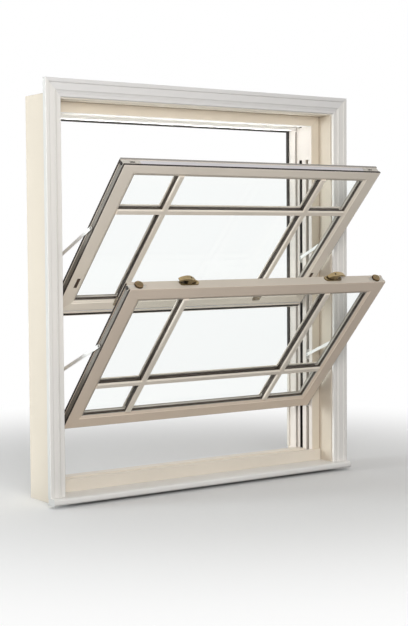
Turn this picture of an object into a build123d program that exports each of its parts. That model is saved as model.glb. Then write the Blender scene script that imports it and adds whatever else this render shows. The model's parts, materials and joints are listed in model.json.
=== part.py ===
from build123d import *
from math import radians, sin
import os

# Vertical sliding sash window with both sashes tilted into the room.
# X runs to the right seen from the room, Y runs outdoors, Z runs up.
# The origin is at the middle of the frame's underside.

# outer frame
FRAME_W = 1276.0
FRAME_H = 1450.0
FRAME_DEPTH = 140.0
MEMBER = 65.0
STOP = 11.0
STOP_START = 21.5
HIDDEN = 25.0
CILL_TOP = 79.0
CILL_NOSE = 8.0
HEAD_POCKET = 15.0

# reveal joinery
LINING_DEPTH = 72.0
ARCH_W = 64.0
ARCH_T = 20.0
ARCH_MARGIN = 5.0
BOARD_T = 24.0
BOARD_TOP = 34.0
BOARD_NOSE = 25.0
BOARD_HALF = 680.0

# sashes
SASH_T = 38.0
SASH_H = 690.0
SASH_GAP = 6.0
STILE = 57.0
TOP_RAIL = 44.0
UPPER_MEETING = 46.0
LOWER_MEETING = 56.0
BOTTOM_RAIL = 57.0
FIN_H = 28.0
FIN_T = 10.0
FIN_BRUSH = 19.0
FIN_BRUSH_H = 9.0
PIVOT_UP = 10.0
LOWER_Y = -42.5
UPPER_Y = -2.0
LOWER_Z = 278.0
UPPER_Z = 700.0
LOWER_TILT = 42.2
UPPER_TILT = 43.6

# glazing
REBATE = 13.0
PANE_T = 4.0
UNIT_T = 24.0
BAR_W = 22.0
BAR_T = 7.0
BAR_X = 316.0
LOWER_BAR_UP = 214.0
UPPER_BAR_UP = 478.0
SEAL_OUT = 1.0
SEAL_IN = 4.0
SEAL_W = 7.0
SEAL_START = 11.0

# balance channels in the jambs
SLOT_W = 18.0
LIP = 2.5
CHANNEL_W = 26.0
CHANNEL_D = 30.0
TUBE_R = 7.0
ROD_R = 3.0
ROD_CLEAR = 35.0
TUBE_IN = 17.0
SHOE_H = 50.0
PIN_R = 5.0
RUNNING = 0.05
SLOT_CLEAR = 0.5
HEAD_BLOCK_H = 131.0
BLOCK_CLEAR = 0.8
STRIKE_DEEP = 5.0

# travel of the sashes, from the pose that is built
LOWER_RISE = 340.0
LOWER_DROP = 196.0
UPPER_RISE = 17.0
SEAT_GAP = 2.0
DRAIN_DEEP = 11.0

# restrictor arms, with the lean that they have in the pose that is built
ARM_L = 287.0
ARM_W = 12.0
ARM_T = 2.5
ARM_CLEAR = 1.3
LOWER_LEAN = 68.3
UPPER_LEAN = 65.9
SHANK = 7.0
SHANK_IN = 30.0
STUD_R = 4.0
ARM_EYE_R = 3.0
SLIDER_L = 40.0
SLIDER_T = 6.5

# tilt latches in the ends of the top rails
LATCH_W = 16.0
LATCH_DEEP = 16.0
LATCH_L = 72.0
LATCH_FIT = 0.2
BOLT_OUT = 4.0
BOLT_H = 9.5
KNOB_R = 15.0
KNOB_H = 10.0

# fasteners on the lower sash and their keepers on the upper one
FASTENER_X = 321.0
FASTENER_Y = 6.5
BASE_L = 80.0
BASE_W = 24.0
BASE_T = 4.0
SPINDLE_R = 3.5
SPINDLE_H = 17.0
LEVER_OUT = 47.0
CLAW_IN = 26.0
KEEPER_W = 38.0
KEEPER_H = 44.0
KEEPER_T = 1.5
KEEPER_UP = 41.0
KEEPER_WINDOW = 10.0

# limit stops in the upper sash's stiles
STOP_X = 535.0
STOP_UP = 130.0
STOP_W = 13.0
STOP_L = 46.0
STOP_DEEP = 12.0
STOP_WALL = 2.5
STOP_PIN_R = 1.5

HALF = FRAME_W / 2
DAY = HALF - MEMBER
SOFFIT = FRAME_H - MEMBER
ROOM = -FRAME_DEPTH / 2
OUT = FRAME_DEPTH / 2
EDGE = DAY - SASH_GAP
REVEAL_X = HALF - HIDDEN
ARCH_BACK = ROOM - LINING_DEPTH
ARCH_IN = REVEAL_X + ARCH_MARGIN
TOP = SASH_H - PIVOT_UP
LOW = -PIVOT_UP
T2 = SASH_T / 2
LOWER_ARM_UP = ARM_L * sin(radians(LOWER_LEAN)) / sin(radians(LOWER_TILT))
UPPER_ARM_UP = ARM_L * sin(radians(UPPER_LEAN)) / sin(radians(UPPER_TILT))

os.makedirs("parts", exist_ok=True)


def save(piece, label):
    piece.label = label
    export_step(piece, f"parts/{label}.step")


# frame members: the section of a jamb, drawn on the right and mirrored for the left
def jamb(side, label):
    with BuildPart() as member:
        with BuildSketch(Plane.XY):
            with BuildLine():
                Polyline(
                    (side * DAY, ROOM + 2),
                    (side * (DAY + 2), ROOM),
                    (side * HALF, ROOM),
                    (side * HALF, OUT),
                    (side * (DAY - STOP), OUT),
                    (side * (DAY - STOP), STOP_START + 1.5),
                    (side * (DAY - STOP + 1.5), STOP_START),
                    (side * DAY, STOP_START),
                    close=True,
                )
            make_face()
        extrude(amount=FRAME_H)
        with BuildSketch(Plane.XY.offset(30)):
            for y in (LOWER_Y, UPPER_Y):
                with Locations((side * (DAY + LIP + CHANNEL_D / 2), y)):
                    Rectangle(CHANNEL_D, CHANNEL_W)
        extrude(amount=SOFFIT - 31, mode=Mode.SUBTRACT)
        # the slots end below the head blocks
        with BuildSketch(Plane.XY.offset(30)):
            for y in (LOWER_Y, UPPER_Y):
                with Locations((side * (DAY + LIP / 2), y)):
                    Rectangle(LIP, SLOT_W)
        extrude(amount=SOFFIT - HEAD_BLOCK_H - 31, mode=Mode.SUBTRACT)
        with BuildSketch(Plane.XY):
            with Locations((side * (DAY - STOP + 6), STOP_START + 2)):
                Rectangle(6, 4)
        extrude(amount=FRAME_H, mode=Mode.SUBTRACT)
        with BuildSketch(Plane.XY.offset(SOFFIT - 3)):
            with Locations((side * (DAY + STRIKE_DEEP / 2), UPPER_Y)):
                Rectangle(STRIKE_DEEP, SLOT_W)
        extrude(amount=HEAD_POCKET + 3, mode=Mode.SUBTRACT)
        # mitre with the head
        with BuildSketch(Plane.XZ.offset(-OUT)):
            Polygon(
                (side * (DAY - 80), -1),
                (side * (HALF + 1), -1),
                (side * (HALF + 1), FRAME_H + 1),
                (side * (DAY - 80), SOFFIT - 80),
                align=None,
            )
        extrude(amount=FRAME_DEPTH, mode=Mode.INTERSECT)
    save(member.part, label)


jamb(-1, "frame_jamb_left")
jamb(1, "frame_jamb_right")

with BuildPart() as frame_head:
    with BuildSketch(Plane.YZ.offset(-HALF)):
        with BuildLine():
            Polyline(
                (ROOM + 2, SOFFIT),
                (ROOM, SOFFIT + 2),
                (ROOM, FRAME_H),
                (OUT, FRAME_H),
                (OUT, SOFFIT - STOP),
                (STOP_START + 1.5, SOFFIT - STOP),
                (STOP_START, SOFFIT - STOP + 1.5),
                (STOP_START, SOFFIT),
                close=True,
            )
        make_face()
    extrude(amount=FRAME_W)
    with BuildSketch(Plane.YZ.offset(-HALF)):
        with Locations((STOP_START + 2, SOFFIT - STOP + 6)):
            Rectangle(4, 6)
    extrude(amount=FRAME_W, mode=Mode.SUBTRACT)
    with BuildSketch(Plane.YZ.offset(-DAY)):
        with Locations((UPPER_Y, SOFFIT + HEAD_POCKET / 2)):
            Rectangle(SASH_T + 5, HEAD_POCKET)
    extrude(amount=2 * DAY, mode=Mode.SUBTRACT)
    with BuildSketch(Plane.XY.offset(SOFFIT - 3)):
        with Locations((0, UPPER_Y)):
            Rectangle(2 * (DAY + STRIKE_DEEP), SLOT_W)
    extrude(amount=HEAD_POCKET + 3, mode=Mode.SUBTRACT)
    with BuildSketch(Plane.XZ.offset(-OUT)):
        Polygon(
            (-HALF - 1, FRAME_H + 1),
            (HALF + 1, FRAME_H + 1),
            (DAY - 80, SOFFIT - 80),
            (-DAY + 80, SOFFIT - 80),
            align=None,
        )
    extrude(amount=FRAME_DEPTH, mode=Mode.INTERSECT)
save(frame_head.part, "frame_head")

# the cill stands between the jambs, with a shadow gap at each end, and its nosing
# runs across their feet; the drain channel leaves room for the tilting lower sash
CILL_SEAT = LOWER_Z - LOWER_DROP - PIVOT_UP - SEAT_GAP
with BuildPart() as frame_cill:
    with BuildSketch(Plane.YZ.offset(-DAY + 1)):
        with BuildLine():
            Polyline(
                (ROOM, 0),
                (ROOM, CILL_TOP),
                (ROOM + 2.5, CILL_TOP),
                (ROOM + 6, CILL_TOP - 6),
                (ROOM + 6, CILL_SEAT - DRAIN_DEEP),
                (LOWER_Y + 4, CILL_SEAT - DRAIN_DEEP),
                (LOWER_Y + 4, CILL_SEAT),
                (LOWER_Y + T2 + 1, CILL_SEAT),
                (LOWER_Y + T2 + 3, CILL_SEAT + 8),
                (STOP_START, CILL_SEAT + 8),
                (OUT, CILL_SEAT - 8),
                (OUT, 0),
                close=True,
            )
        make_face()
    extrude(amount=2 * DAY - 2)
    with BuildSketch(Plane.XY):
        for side in (-1, 1):
            with Locations((side * DAY, (STOP_START + OUT) / 2)):
                Rectangle(2 * STOP + 2, OUT - STOP_START + 1)
    extrude(amount=CILL_TOP, mode=Mode.SUBTRACT)
    with BuildSketch(Plane.YZ.offset(-DAY)):
        with Locations((6, 24), (42, 24)):
            Rectangle(28, 28)
        with Locations((-40, 26)):
            Rectangle(44, 36)
    extrude(amount=2 * DAY, mode=Mode.SUBTRACT)
    with BuildSketch(Plane.YZ.offset(-REVEAL_X + 2)):
        Polygon(
            (ROOM, BOARD_TOP),
            (ROOM - CILL_NOSE, BOARD_TOP),
            (ROOM - CILL_NOSE, CILL_TOP - 4),
            (ROOM - CILL_NOSE + 1.2, CILL_TOP - 1.2),
            (ROOM - CILL_NOSE + 4, CILL_TOP),
            (ROOM, CILL_TOP),
            align=None,
        )
    extrude(amount=2 * REVEAL_X - 4)
save(frame_cill.part, "frame_cill")


# strips that run up one jamb, across the head and down the other
def hoop(y0, y1, inner, outer, foot, label):
    with BuildPart() as strip:
        with BuildSketch(Plane.XZ.offset(-y0)):
            with BuildLine():
                Polyline(
                    (-inner, foot),
                    (-inner, SOFFIT - (DAY - inner)),
                    (inner, SOFFIT - (DAY - inner)),
                    (inner, foot),
                    (outer, foot),
                    (outer, SOFFIT - (DAY - outer)),
                    (-outer, SOFFIT - (DAY - outer)),
                    (-outer, foot),
                    close=True,
                )
            make_face()
        extrude(amount=-(y1 - y0))
    save(strip.part, label)


hoop(STOP_START - 1, STOP_START + 4, DAY - STOP + 3, DAY - STOP + 9, CILL_TOP, "stop_pile_seal")
hoop(OUT - 12, OUT, DAY - STOP - 6, DAY - STOP, CILL_TOP, "outer_weather_seal")

# linings between the frame and the wall face
for side, label in ((-1, "lining_left"), (1, "lining_right")):
    with BuildPart() as lining:
        with BuildSketch(Plane.XY.offset(BOARD_TOP)):
            with Locations((side * (REVEAL_X + HALF) / 2, (ROOM + ARCH_BACK) / 2)):
                Rectangle(HIDDEN, LINING_DEPTH)
        extrude(amount=FRAME_H - HIDDEN - BOARD_TOP)
    save(lining.part, label)

with BuildPart() as lining_head:
    with BuildSketch(Plane.XY.offset(FRAME_H - HIDDEN)):
        with Locations((0, (ROOM + ARCH_BACK) / 2)):
            Rectangle(FRAME_W, LINING_DEPTH)
    extrude(amount=HIDDEN)
save(lining_head.part, "lining_head")


# moulded architrave: a quirk, an ogee and a raised outer band
def moulding():
    with BuildLine() as line:
        a = Line((0, 0), (0, -9))
        b = ThreePointArc(a @ 1, (1.2, -11.2), (4, -12))
        c = Line(b @ 1, (13, -12))
        d = Line(c @ 1, (13, -13.5))
        e = ThreePointArc(d @ 1, (19, -14.2), (24, -17.5))
        f = Line(e @ 1, (26.5, -17.5))
        g = Line(f @ 1, (26.5, -16))
        h = Line(g @ 1, (44, -16))
        i = ThreePointArc(h @ 1, (48.5, -17), (50.5, -ARCH_T))
        j = Line(i @ 1, (61, -ARCH_T))
        k = ThreePointArc(j @ 1, (63.1, -ARCH_T + 0.9), (ARCH_W, -ARCH_T + 3))
        Polyline(k @ 1, (ARCH_W, 0), (0, 0))
    return line.line


for side, label in ((-1, "architrave_left"), (1, "architrave_right")):
    with BuildPart() as casing:
        with BuildSketch(Plane((side * ARCH_IN, ARCH_BACK, BOARD_TOP), x_dir=(side, 0, 0),
                               z_dir=(0, 0, side))):
            with BuildLine():
                add(moulding())
            make_face()
        extrude(amount=side * (FRAME_H + 100))
        with BuildSketch(Plane.XZ.offset(-ARCH_BACK)):
            Polygon(
                (side * (ARCH_IN - 40), 0),
                (side * (ARCH_IN + ARCH_W + 1), 0),
                (side * (ARCH_IN + ARCH_W + 1), FRAME_H - HIDDEN + ARCH_MARGIN + ARCH_W + 1),
                (side * (ARCH_IN - 40), FRAME_H - HIDDEN + ARCH_MARGIN - 40),
                align=None,
            )
        extrude(amount=60, both=True, mode=Mode.INTERSECT)
    save(casing.part, label)

with BuildPart() as architrave_head:
    with BuildSketch(Plane((-800, ARCH_BACK, FRAME_H - HIDDEN + ARCH_MARGIN), x_dir=(0, 0, 1),
                           z_dir=(-1, 0, 0))):
        with BuildLine():
            add(moulding())
        make_face()
    extrude(amount=-1600)
    with BuildSketch(Plane.XZ.offset(-ARCH_BACK)):
        Polygon(
            (-ARCH_IN - ARCH_W - 1, FRAME_H - HIDDEN + ARCH_MARGIN + ARCH_W + 1),
            (ARCH_IN + ARCH_W + 1, FRAME_H - HIDDEN + ARCH_MARGIN + ARCH_W + 1),
            (ARCH_IN - 40, FRAME_H - HIDDEN + ARCH_MARGIN - 40),
            (-ARCH_IN + 40, FRAME_H - HIDDEN + ARCH_MARGIN - 40),
            align=None,
        )
    extrude(amount=60, both=True, mode=Mode.INTERSECT)
save(architrave_head.part, "architrave_head")

# window board with a rounded nosing and horns past the reveal
BOARD_FRONT = ARCH_BACK - ARCH_T - BOARD_NOSE
with BuildPart() as window_board:
    with BuildSketch(Plane.XY.offset(BOARD_TOP - BOARD_T)):
        with BuildLine():
            Polyline(
                (-BOARD_HALF, BOARD_FRONT),
                (BOARD_HALF, BOARD_FRONT),
                (BOARD_HALF, ARCH_BACK),
                (HALF, ARCH_BACK),
                (HALF, ROOM),
                (-HALF, ROOM),
                (-HALF, ARCH_BACK),
                (-BOARD_HALF, ARCH_BACK),
                close=True,
            )
        make_face()
    extrude(amount=BOARD_T)
    nose = window_board.edges().filter_by(Axis.X).group_by(Axis.Y)[0]
    fillet(nose, 9)
save(window_board.part, "window_board")


# a balance tube hangs in each channel from a block at the top,
# and the rod that slides in it stands on the shoe that carries the sash
def balance(y, z, rise, name):
    x = DAY + TUBE_IN
    shoe_top = z + SHOE_H / 2
    foot = shoe_top + rise + 7
    with BuildPart() as tubes:
        for side in (-1, 1):
            with BuildSketch(Plane.XY.offset(foot)):
                with Locations((side * x, y)):
                    Circle(TUBE_R)
                    RegularPolygon(ROD_R + 0.8, 6, major_radius=False, mode=Mode.SUBTRACT)
            extrude(amount=SOFFIT - 1 - foot)
    save(tubes.part, f"{name}_balance_tubes")
    with BuildPart() as rods:
        for side in (-1, 1):
            with BuildSketch(Plane.XY.offset(shoe_top)):
                with Locations((side * x, y)):
                    Circle(ROD_R)
            extrude(amount=SOFFIT - ROD_CLEAR - rise - shoe_top)
    save(rods.part, f"{name}_balance_rods")
    with BuildPart() as shoes:
        for side in (-1, 1):
            with BuildSketch(Plane.XY.offset(z - SHOE_H / 2)):
                with Locations((side * (DAY + LIP + 0.4 + 12.0), y)):
                    Rectangle(24, CHANNEL_W - 2 * SLOT_CLEAR)
                with Locations((side * (DAY + 2), y)):
                    Rectangle(3, SLOT_W - 2 * SLOT_CLEAR)
            extrude(amount=SHOE_H)
        with BuildSketch(Plane.YZ.offset(-DAY - 14)):
            with Locations((y, z)):
                Circle(PIN_R + RUNNING)
        extrude(amount=14, mode=Mode.SUBTRACT)
        with BuildSketch(Plane.YZ.offset(DAY)):
            with Locations((y, z)):
                Circle(PIN_R + RUNNING)
        extrude(amount=14, mode=Mode.SUBTRACT)
    save(shoes.part, f"{name}_balance_shoes")


balance(LOWER_Y, LOWER_Z, LOWER_RISE, "lower")
balance(UPPER_Y, UPPER_Z, UPPER_RISE, "upper")

with BuildPart() as balance_head_blocks:
    for side in (-1, 1):
        for y in (LOWER_Y, UPPER_Y):
            with BuildSketch(Plane.XY.offset(SOFFIT - 1 - HEAD_BLOCK_H)):
                with Locations((side * (DAY + LIP + (CHANNEL_D + BLOCK_CLEAR) / 2), y)):
                    Rectangle(CHANNEL_D - BLOCK_CLEAR, CHANNEL_W - 2 * SLOT_CLEAR)
                with Locations((side * (DAY + TUBE_IN), y)):
                    Rectangle(2 * (TUBE_R + RUNNING), 2 * (TUBE_R + RUNNING), mode=Mode.SUBTRACT)
            extrude(amount=HEAD_BLOCK_H)
save(balance_head_blocks.part, "balance_head_blocks")


class SashPlanes:
    """Planes of a tilted sash: up the stile, across the rail and on the glass."""

    def __init__(self, y, z, tilt):
        up = Vector(0, 0, 1).rotate(Axis.X, tilt)
        out = Vector(0, 1, 0).rotate(Axis.X, tilt)
        pivot = (0, y, z)
        self.level = Plane(pivot, x_dir=(1, 0, 0), z_dir=up)
        self.across = Plane(pivot, x_dir=out, z_dir=(1, 0, 0))
        self.glass = Plane(pivot, x_dir=(1, 0, 0), z_dir=-out)


LOWER = SashPlanes(LOWER_Y, LOWER_Z, LOWER_TILT)
UPPER = SashPlanes(UPPER_Y, UPPER_Z, UPPER_TILT)


def sash_section(width, grooved=True):
    """One member's section: first across the depth, then from its outer edge inward."""
    g = UNIT_T / 2
    face = [
        (-T2 + 0.8, 0), (-T2, 0.8), (-T2, width - 11), (-T2 + 2.5, width - 9.5),
        (-T2 + 3.5, width - 5), (-g, width), (-g, width - REBATE),
        (g, width - REBATE), (g, width), (T2 - 3.5, width - 5), (T2 - 2.5, width - 9.5),
        (T2, width - 11), (T2, 0.8), (T2 - 0.8, 0),
    ]
    if not grooved:
        return face
    a, b = SEAL_START, SEAL_START + SEAL_W
    groove = [(a - 3.5, 3), (a - 0.5, 3), (a - 0.5, 0), (a, 0), (a, 5.4), (b, 5.4), (b, 0)]
    return [(-w, d) for w, d in groove] + face + groove[::-1]


def fin_section():
    """First inward from the room face, then down from the rail's underside."""
    above, below = FIN_BRUSH - FIN_BRUSH_H / 2, FIN_BRUSH + FIN_BRUSH_H / 2
    return [
        (3, -1), (3, 4), (0, 4), (0, above), (4, above), (4, below), (0, below),
        (0, FIN_H - 1), (1, FIN_H), (FIN_T, FIN_H), (FIN_T, -1),
    ]


def corner_cut(top, bottom, which):
    """The mitred outline of a member, seen on the glass plane."""
    inner = EDGE - STILE
    if which == "top":
        return [(-EDGE, TOP), (EDGE, TOP), (inner, TOP - top), (-inner, TOP - top)]
    if which == "bottom":
        return [(-EDGE, LOW), (EDGE, LOW), (inner, LOW + bottom), (-inner, LOW + bottom)]
    s = -1 if which == "left" else 1
    return [(s * EDGE, LOW), (s * EDGE, TOP), (s * inner, TOP - top), (s * inner, LOW + bottom)]


def sash_frame(sash, top, bottom, arm_up, name, sealed, stops):
    for side, end in ((-1, "left"), (1, "right")):
        with BuildPart() as stile:
            with BuildSketch(sash.level.offset(LOW)):
                Polygon(*[(side * (EDGE - d), w) for w, d in sash_section(STILE)], align=None)
            extrude(amount=SASH_H)
            with BuildSketch(sash.glass.offset(-T2)):
                Polygon(*corner_cut(top, bottom, end), align=None)
            extrude(amount=SASH_T, mode=Mode.INTERSECT)
            with BuildSketch(sash.across.offset(side * EDGE)):
                Rectangle(SHANK + 2 * RUNNING, SHANK + 2 * RUNNING)
                with Locations((0, arm_up)):
                    Rectangle(SHANK + 2 * RUNNING, SHANK + 2 * RUNNING)
            extrude(amount=-side * (SHANK_IN + 1), mode=Mode.SUBTRACT)
            with BuildSketch(sash.level.offset(TOP - LATCH_DEEP)):
                with Locations((side * (EDGE - LATCH_L / 2), 0)):
                    Rectangle(LATCH_L, LATCH_W)
            extrude(amount=LATCH_DEEP, mode=Mode.SUBTRACT)
            if stops:
                with BuildSketch(sash.glass.offset(T2)):
                    with Locations((side * STOP_X, STOP_UP)):
                        Rectangle(STOP_W, STOP_L)
                extrude(amount=-STOP_DEEP, mode=Mode.SUBTRACT)
        save(stile.part, f"{name}_stile_{end}")
    for which, width in (("top", top), ("bottom", bottom)):
        section = sash_section(width, grooved=which == sealed)
        with BuildPart() as rail:
            with BuildSketch(sash.across.offset(-EDGE)):
                if which == "top":
                    Polygon(*[(w, TOP - d) for w, d in section], align=None)
                else:
                    Polygon(*[(w, LOW + d) for w, d in section], align=None)
            extrude(amount=2 * EDGE)
            with BuildSketch(sash.glass.offset(-T2)):
                Polygon(*corner_cut(top, bottom, which), align=None)
            extrude(amount=SASH_T, mode=Mode.INTERSECT)
            if which == "top":
                with BuildSketch(sash.level.offset(TOP - LATCH_DEEP)):
                    with Locations((-EDGE + LATCH_L / 2, 0), (EDGE - LATCH_L / 2, 0)):
                        Rectangle(LATCH_L, LATCH_W)
                extrude(amount=LATCH_DEEP, mode=Mode.SUBTRACT)
            else:
                for side in (-1, 1):
                    with BuildSketch(sash.across.offset(side * EDGE)):
                        Rectangle(SHANK + 2 * RUNNING, SHANK + 2 * RUNNING)
                    extrude(amount=-side * (SHANK_IN + 1), mode=Mode.SUBTRACT)
                if name == "upper":
                    # a fin with a brush in its room face hangs from the meeting rail
                    with BuildSketch(sash.across.offset(-EDGE + 2)):
                        Polygon(*[(-T2 + w, LOW - d) for w, d in fin_section()], align=None)
                    extrude(amount=2 * EDGE - 4)
        save(rail.part, f"{name}_{which}_rail")


def glazing(sash, top, bottom, bar_up, name, sealed):
    inner = EDGE - STILE
    low, high = LOW + bottom, TOP - top
    mid, tall = (low + high) / 2, high - low
    gap = UNIT_T / 2 - PANE_T
    with BuildPart() as panes:
        for depth in (gap, -gap - PANE_T):
            with BuildSketch(sash.glass.offset(depth)):
                with Locations((0, mid)):
                    Rectangle(2 * (inner + REBATE - 2), tall + 2 * (REBATE - 2))
            extrude(amount=PANE_T)
    save(panes.part, f"{name}_panes")
    across = bar_up + LOW
    # the spacer follows the edge of the unit and stands behind each glazing bar
    with BuildPart() as spacer:
        with BuildSketch(sash.glass.offset(-gap)):
            with Locations((0, mid)):
                Rectangle(2 * (inner + REBATE - 3), tall + 2 * (REBATE - 3))
                Rectangle(2 * (inner - 2), tall - 4, mode=Mode.SUBTRACT)
            with Locations((-BAR_X, mid), (BAR_X, mid)):
                Rectangle(BAR_W - 6, tall)
            with Locations((0, across)):
                Rectangle(2 * inner, BAR_W - 6)
        extrude(amount=2 * gap)
    save(spacer.part, f"{name}_spacer")
    for depth, turn, end in ((UNIT_T / 2, 1, "room"), (-UNIT_T / 2, -1, "outer")):
        with BuildPart() as bars:
            with BuildSketch(sash.glass.offset(depth)):
                with Locations((-BAR_X, mid), (BAR_X, mid)):
                    Rectangle(BAR_W, tall)
                with Locations((0, across)):
                    Rectangle(2 * inner, BAR_W)
            extrude(amount=turn * 3.5)
            with BuildSketch(sash.glass.offset(depth + turn * 3.5)):
                with Locations((-BAR_X, mid), (BAR_X, mid)):
                    Rectangle(BAR_W, tall)
                with Locations((0, across)):
                    Rectangle(2 * inner, BAR_W)
            extrude(amount=turn * (BAR_T - 3.5), taper=38)
        save(bars.part, f"{name}_bars_{end}")
    # brush seals in two grooves, up both stiles and along the rail that meets the frame
    near, far = (TOP, LOW) if sealed == "top" else (LOW, TOP)
    turn = 1 if sealed == "top" else -1
    outer, inner = EDGE + SEAL_OUT, EDGE - SEAL_IN
    with BuildPart() as seals:
        for depth in (SEAL_START, -SEAL_START - SEAL_W):
            with BuildSketch(sash.glass.offset(depth)):
                Polygon(
                    (-outer, far + turn * 6),
                    (-outer, near + turn * SEAL_OUT),
                    (outer, near + turn * SEAL_OUT),
                    (outer, far + turn * 6),
                    (inner, far + turn * 6),
                    (inner, near - turn * SEAL_IN),
                    (-inner, near - turn * SEAL_IN),
                    (-inner, far + turn * 6),
                    align=None,
                )
            extrude(amount=SEAL_W)
        if sealed == "top":
            with BuildSketch(sash.glass.offset(T2 - 4)):
                with Locations((0, LOW - FIN_BRUSH)):
                    Rectangle(2 * EDGE - 8, FIN_BRUSH_H)
            extrude(amount=5)
    save(seals.part, f"{name}_edge_seals")


def pivots_and_arms(sash, y, arm_up, name):
    """Square shanks hold the pivot pins and the arms' studs in the stiles."""
    with BuildPart() as pins:
        for side in (-1, 1):
            with BuildSketch(sash.across.offset(side * (EDGE - SHANK_IN))):
                Rectangle(SHANK, SHANK)
            extrude(amount=side * SHANK_IN)
            with BuildSketch(sash.across.offset(side * EDGE)):
                Circle(PIN_R)
            extrude(amount=side * (SASH_GAP + 13))
    save(pins.part, f"{name}_pivot_pins")
    near = EDGE + ARM_CLEAR
    with BuildPart() as studs:
        for side in (-1, 1):
            with BuildSketch(sash.across.offset(side * (EDGE - SHANK_IN))):
                with Locations((0, arm_up)):
                    Rectangle(SHANK, SHANK)
            extrude(amount=side * SHANK_IN)
            with BuildSketch(sash.across.offset(side * EDGE)):
                with Locations((0, arm_up)):
                    Circle(STUD_R)
            extrude(amount=side * (ARM_CLEAR + ARM_T + 0.1))
            with BuildSketch(sash.across.offset(side * (near + ARM_T + 0.1))):
                with Locations((0, arm_up)):
                    RegularPolygon(STUD_R + 2, 6)
            extrude(amount=side * 0.9)
    save(studs.part, f"{name}_arm_studs")
    # the far end of each arm lies over its slider in the jamb slot
    head = sash.level.origin + sash.level.z_dir * arm_up
    reach = y - head.Y
    drop = (ARM_L**2 - reach**2) ** 0.5
    foot = Vector(0, y, head.Z - drop)
    along = (foot - head).normalized()
    arm = Plane((0, head.Y, head.Z), x_dir=along, z_dir=(1, 0, 0))
    with BuildPart() as arms:
        for side in (-1, 1):
            with BuildSketch(arm.offset(side * near)):
                with Locations((ARM_L / 2, 0)):
                    SlotCenterToCenter(ARM_L, ARM_W)
                Circle(STUD_R + RUNNING, mode=Mode.SUBTRACT)
            extrude(amount=side * ARM_T)
            with BuildSketch(arm.offset(side * near)):
                with Locations((ARM_L, 0)):
                    Circle(ARM_EYE_R)
            extrude(amount=side * ARM_T, mode=Mode.SUBTRACT)
            with BuildSketch(arm.offset(side * (near + ARM_T))):
                with Locations((ARM_L / 2, 0)):
                    Rectangle(ARM_L - 6 * STUD_R - 40, 4)
            extrude(amount=side * 0.5)
    save(arms.part, f"{name}_arms")
    with BuildPart() as sliders:
        for side in (-1, 1):
            with BuildSketch(Plane.YZ.offset(side * (DAY + LIP + 0.4))):
                with Locations((y, foot.Z)):
                    Rectangle(CHANNEL_W - 2 * SLOT_CLEAR, SLIDER_L)
            extrude(amount=side * SLIDER_T)
            with BuildSketch(Plane.YZ.offset(side * (DAY - 1.5))):
                with Locations((y, foot.Z)):
                    Rectangle(SLOT_W - 2 * SLOT_CLEAR, SLIDER_L / 2)
            extrude(amount=side * (1.5 + LIP + 0.4))
    save(sliders.part, f"{name}_arm_sliders")


def latches(sash, knob, name):
    """A bolt in each end of the top rail, which a knob or a flush button draws in."""
    floor = TOP - LATCH_DEEP
    slide_x = EDGE - 40
    bolt_low, bolt_top = floor + 2.3, floor + 2.3 + BOLT_H
    with BuildPart() as housings:
        for side in (-1, 1):
            with BuildSketch(sash.level.offset(floor)):
                with Locations((side * (EDGE - 0.5 - (LATCH_L - 1) / 2), 0)):
                    Rectangle(LATCH_L - 1, LATCH_W - 2 * LATCH_FIT)
            extrude(amount=LATCH_DEEP - 1.5)
            with BuildSketch(sash.level.offset(floor + 2)):
                with Locations((side * (EDGE - 30), 0)):
                    Rectangle(64, LATCH_W - 4.4)
            extrude(amount=BOLT_H + 0.6, mode=Mode.SUBTRACT)
            with BuildSketch(sash.level.offset(floor + 10)):
                with Locations((side * slide_x, 0)):
                    Rectangle(22, 7)
            extrude(amount=10, mode=Mode.SUBTRACT)
    save(housings.part, f"{name}_latch_housings")
    for side, end in ((-1, "left"), (1, "right")):
        with BuildPart() as bolt:
            with BuildSketch(sash.glass.offset(-(LATCH_W - 5) / 2)):
                Polygon(
                    (side * (EDGE - 52), bolt_low),
                    (side * (EDGE + BOLT_OUT - 1), bolt_low),
                    (side * (EDGE + BOLT_OUT), bolt_low + 1),
                    (side * (EDGE + BOLT_OUT), bolt_top - 1.3),
                    (side * (EDGE + BOLT_OUT - 1), bolt_top),
                    (side * (EDGE - 52), bolt_top),
                    align=None,
                )
            extrude(amount=LATCH_W - 5)
            with BuildSketch(sash.level.offset(bolt_top)):
                with Locations((side * slide_x, 0)):
                    Rectangle(5, 5)
            extrude(amount=4.5 if knob else 2.2)
            if knob:
                with BuildSketch(sash.level.offset(TOP + 0.3)):
                    with Locations((side * slide_x, 0)):
                        Circle(KNOB_R)
                extrude(amount=KNOB_H)
                crown = bolt.faces().sort_by(Axis((0, 0, 0), sash.level.z_dir))[-1]
                chamfer(crown.edges(), 2.5)
        save(bolt.part, f"{name}_latch_bolt_{end}")


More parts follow.
